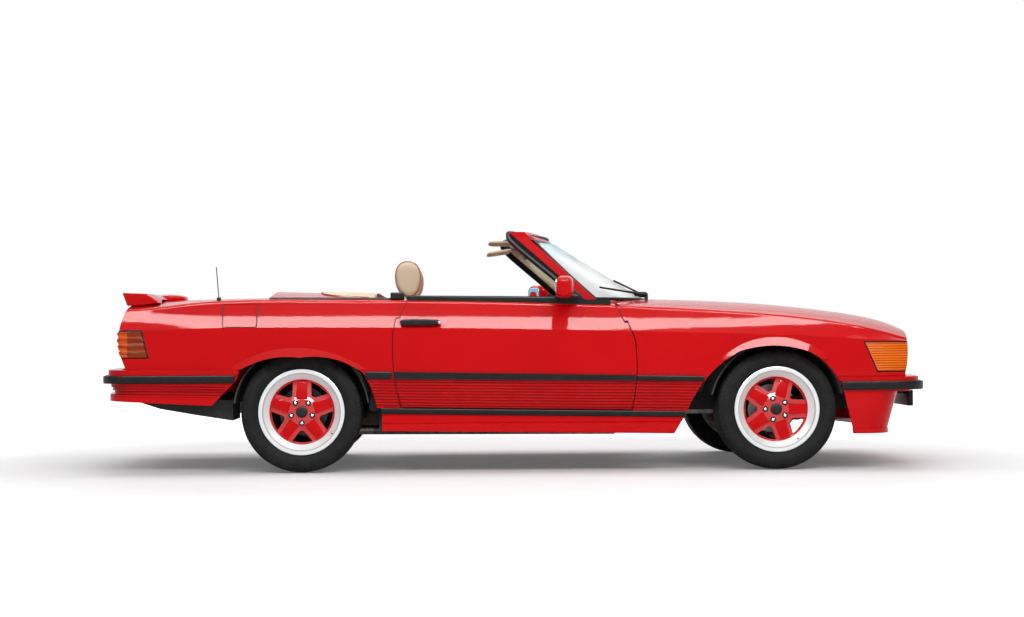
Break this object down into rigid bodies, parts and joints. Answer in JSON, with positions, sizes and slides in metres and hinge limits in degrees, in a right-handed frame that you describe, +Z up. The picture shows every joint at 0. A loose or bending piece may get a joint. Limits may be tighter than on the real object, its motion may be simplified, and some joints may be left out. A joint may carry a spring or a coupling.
{
  "type": "convertible car",
  "caption": "Two-seat convertible car with opening doors, bonnet, boot lid and roof cover, front wheels that steer and wheels that roll.",
  "frame": {"origin": "on the ground under the middle of the car's length and width", "axes": "+X forward, +Y to the car's left, +Z up"},
  "size_m": [4.39, 2.11, 1.2489],
  "materials": {
    "paint": "high gloss red",
    "paint_wheel": "gloss red spokes with a polished lip",
    "underseal": "satin black underseal",
    "rubber": "satin",
    "tyre": "matte",
    "glass": "clear",
    "lamp_front": "ribbed amber and clear lens",
    "lamp_tail": "ribbed amber and red lens",
    "black_plastic": "grained",
    "leather": "cream with red piping",
    "carpet": "looped pile",
    "steel": "dull",
    "iron": "rough",
    "aluminium": "cast"
  },
  "bodies": {
    "chassis": {"underbody": "underseal", "front_fenders": "paint", "rear_body": "paint", "sills": "paint", "screen_frame": "paint", "windscreen_glass": "glass", "nose_panel": "paint", "grille": "black_plastic", "front_lamps": "lamp_front", "tail_lamps": "lamp_tail", "front_bumper": "paint", "rear_bumper": "paint", "body_strips": "rubber", "engine_block": "aluminium", "sun_visors": "leather", "dashboard": "black_plastic", "seats": "leather", "rear_trim": "carpet", "exhaust": "steel", "front_suspension": "iron", "rear_axle": "iron", "aerial": "steel", "wipers": "black_plastic"},
    "right_door": {"door_right": "paint", "door_trim_right": "rubber", "mirror_right": "paint"},
    "left_door": {"door_left": "paint", "door_trim_left": "rubber", "mirror_left": "paint"},
    "bonnet_lid": {"bonnet": "paint"},
    "boot_lid_set": {"boot_lid": "paint", "spoiler": "paint"},
    "hood_cover": {"soft_top_cover": "paint"},
    "fuel_lid": {"fuel_flap": "paint"},
    "steering": {"steering_wheel": "black_plastic"},
    "right_knuckle": {"knuckle_right": "iron"},
    "left_knuckle": {"knuckle_left": "iron"},
    "wheel_front_right": {"tyre_front_right": "tyre", "rim_front_right": "paint_wheel"},
    "wheel_front_left": {"tyre_front_left": "tyre", "rim_front_left": "paint_wheel"},
    "wheel_rear_right": {"tyre_rear_right": "tyre", "rim_rear_right": "paint_wheel"},
    "wheel_rear_left": {"tyre_rear_left": "tyre", "rim_rear_left": "paint_wheel"}
  },
  "joints": [
    {"name": "door_right_hinge", "type": "hinge", "parent": "chassis", "child": "right_door", "pos_m": [0.612, -0.911, 0.6], "axis": [0, 0, 1], "range_deg": [0, 65]},
    {"name": "door_left_hinge", "type": "hinge", "parent": "chassis", "child": "left_door", "pos_m": [0.612, 0.911, 0.6], "axis": [0, 0, -1], "range_deg": [0, 65]},
    {"name": "bonnet_hinge", "type": "hinge", "parent": "chassis", "child": "bonnet_lid", "pos_m": [0.64, 0, 0.9], "axis": [0, -1, 0], "range_deg": [0, 50]},
    {"name": "boot_hinge", "type": "hinge", "parent": "chassis", "child": "boot_lid_set", "pos_m": [-1.318, 0, 0.916], "axis": [0, 1, 0], "range_deg": [0, 60]},
    {"name": "hood_cover_hinge", "type": "hinge", "parent": "chassis", "child": "hood_cover", "pos_m": [-1.28, 0, 0.95], "axis": [0, -1, 0], "range_deg": [0, 50]},
    {"name": "fuel_flap_hinge", "type": "hinge", "parent": "chassis", "child": "fuel_lid", "pos_m": [-1.338, -0.884, 0.81], "axis": [0, 0, 1], "range_deg": [0, 90]},
    {"name": "steering_turn", "type": "hinge", "parent": "chassis", "child": "steering", "pos_m": [0.06, 0.385, 0.72], "axis": [-0.9505, 0, 0.3107], "range_deg": [-490, 490]},
    {"name": "steer_right", "type": "hinge", "parent": "chassis", "child": "right_knuckle", "pos_m": [1.34, -0.7325, 0.313], "axis": [0, 0, 1], "range_deg": [-32, 32]},
    {"name": "steer_left", "type": "hinge", "parent": "chassis", "child": "left_knuckle", "pos_m": [1.34, 0.7325, 0.313], "axis": [0, 0, 1], "range_deg": [-32, 32]},
    {"name": "spin_front_right", "type": "hinge", "parent": "right_knuckle", "child": "wheel_front_right", "pos_m": [1.34, -0.7325, 0.313], "axis": [0, 1, 0], "continuous": true},
    {"name": "spin_front_left", "type": "hinge", "parent": "left_knuckle", "child": "wheel_front_left", "pos_m": [1.34, 0.7325, 0.313], "axis": [0, 1, 0], "continuous": true},
    {"name": "spin_rear_right", "type": "hinge", "parent": "chassis", "child": "wheel_rear_right", "pos_m": [-1.115, -0.7325, 0.313], "axis": [0, 1, 0], "continuous": true},
    {"name": "spin_rear_left", "type": "hinge", "parent": "chassis", "child": "wheel_rear_left", "pos_m": [-1.115, 0.7325, 0.313], "axis": [0, 1, 0], "continuous": true}
  ],
  "couplings": [
    {"joint": "steer_left", "follows": "steer_right", "ratio": 1},
    {"joint": "steering_turn", "follows": "steer_right", "ratio": 15}
  ]
}
